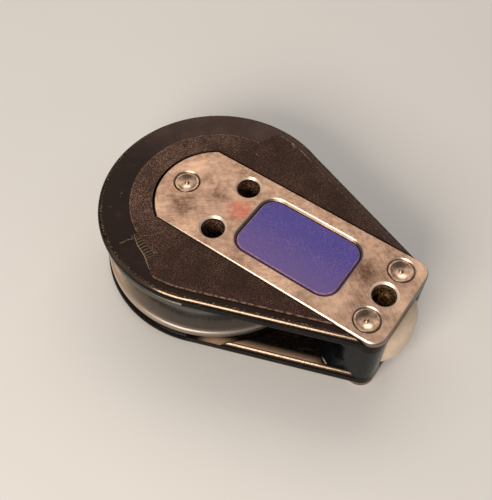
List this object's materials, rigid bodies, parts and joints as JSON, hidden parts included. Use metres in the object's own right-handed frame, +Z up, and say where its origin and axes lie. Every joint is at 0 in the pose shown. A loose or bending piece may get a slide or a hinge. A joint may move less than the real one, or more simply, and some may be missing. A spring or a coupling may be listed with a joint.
{
  "type": "sailing foot block",
  "caption": "Flat-lying sailing foot block: grooved ball-bearing sheave between black teardrop cheeks, clamped by riveted steel straps, with a bare badge and through bolt holes.",
  "frame": {"origin": "where the sheave's axis meets the bottom face, on which the block lies", "axes": "+Z up along the sheave's axis, +X towards the tail bolt, +Y to the port side of the block"},
  "size_m": [0.0842, 0.058, 0.0221],
  "materials": {
    "cheek_plastic": "moulded black plastic, fine-grained on the raised middle and glossy on the rounded rim",
    "strap_steel": "satin brushed stainless steel with polished edges",
    "rivet_steel": "formed stainless steel heads, half polished",
    "badge_plastic": "matte violet-blue moulded plastic, bare",
    "sheave_alloy": "satin grey with fine turning lines",
    "retainer_plastic": "satin black",
    "acetal": "smooth off-white acetal",
    "hub_plastic": "satin black",
    "bush_nylon": "smooth off-white nylon"
  },
  "bodies": {
    "frame": {"cheek_top": "cheek_plastic", "cheek_bottom": "cheek_plastic", "strap_top": "strap_steel", "strap_bottom": "strap_steel", "badge": "badge_plastic", "hub": "hub_plastic", "rivets": "rivet_steel", "tail_spacer": "cheek_plastic", "tail_bush": "bush_nylon"},
    "sheave": {"sheave": "sheave_alloy", "ball_retainer_upper": "retainer_plastic", "ball_retainer_lower": "retainer_plastic"},
    "ball_train": {"ball_cage_upper": "acetal", "ball_cage_lower": "acetal", "balls_upper": "acetal", "balls_lower": "acetal"}
  },
  "joints": [
    {"name": "sheave_spin", "type": "hinge", "parent": "frame", "child": "sheave", "pos_m": [0, 0, 0.01105], "axis": [0, 0, 1], "continuous": true},
    {"name": "ball_orbit", "type": "hinge", "parent": "frame", "child": "ball_train", "pos_m": [0, 0, 0.01105], "axis": [0, 0, 1], "continuous": true}
  ],
  "couplings": [
    {"joint": "ball_orbit", "follows": "sheave_spin", "ratio": 0.5708}
  ]
}
